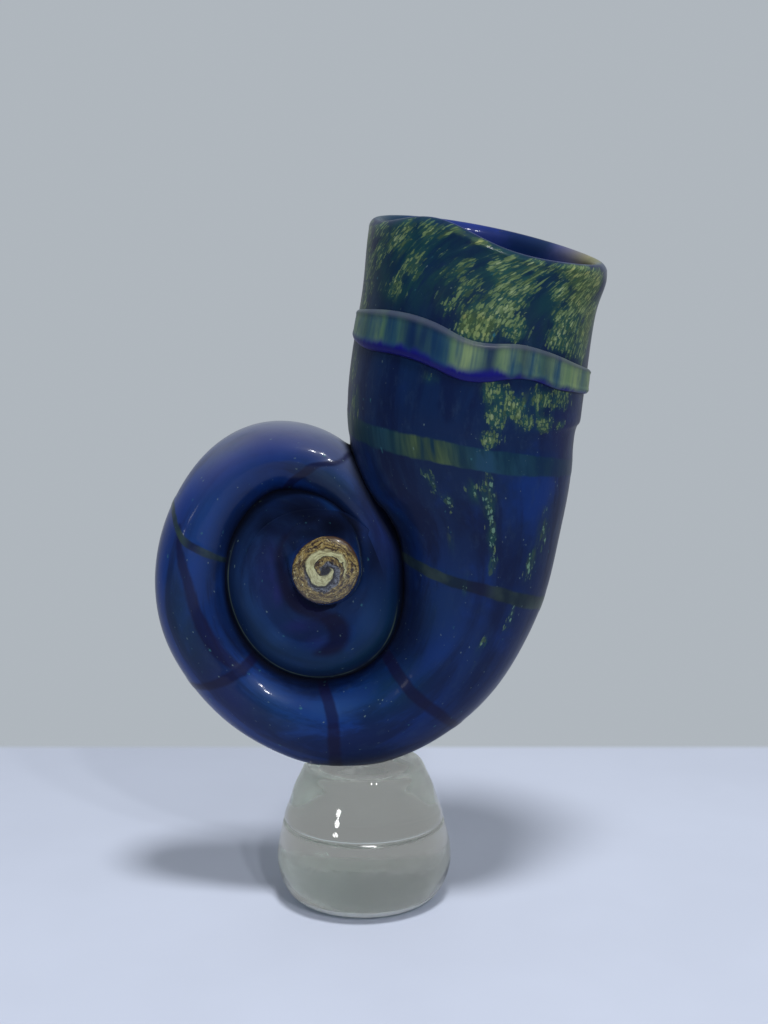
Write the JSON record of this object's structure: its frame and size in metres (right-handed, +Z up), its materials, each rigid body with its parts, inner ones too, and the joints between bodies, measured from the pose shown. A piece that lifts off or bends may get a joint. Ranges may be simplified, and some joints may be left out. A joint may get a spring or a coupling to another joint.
{
  "type": "glass ammonite sculpture",
  "caption": "Coiled hollow glass horn in the form of an ammonite, with an open flared mouth, a trailed ribbon and a patterned eye, on a clear glass foot.",
  "frame": {"origin": "centre of the foot's flat base", "axes": "+Z up to the mouth, +X towards the mouth's side of the coil, and the front with the eye faces -Y"},
  "size_m": [0.2279, 0.103, 0.3522],
  "materials": {
    "blue_glass": "satin cobalt glass with trailed violet and olive bands and yellow-green flecks",
    "ribbon_glass": "satin teal and blue glass with yellow-green streaks",
    "murrine_glass": "polished gold, cream and grey glass in a swirl of rings",
    "clear_glass": "clear polished solid glass"
  },
  "bodies": {
    "root": {"shell": "blue_glass", "mouth_ribbon": "ribbon_glass", "murrine": "murrine_glass", "foot": "clear_glass"}
  },
  "joints": []
}
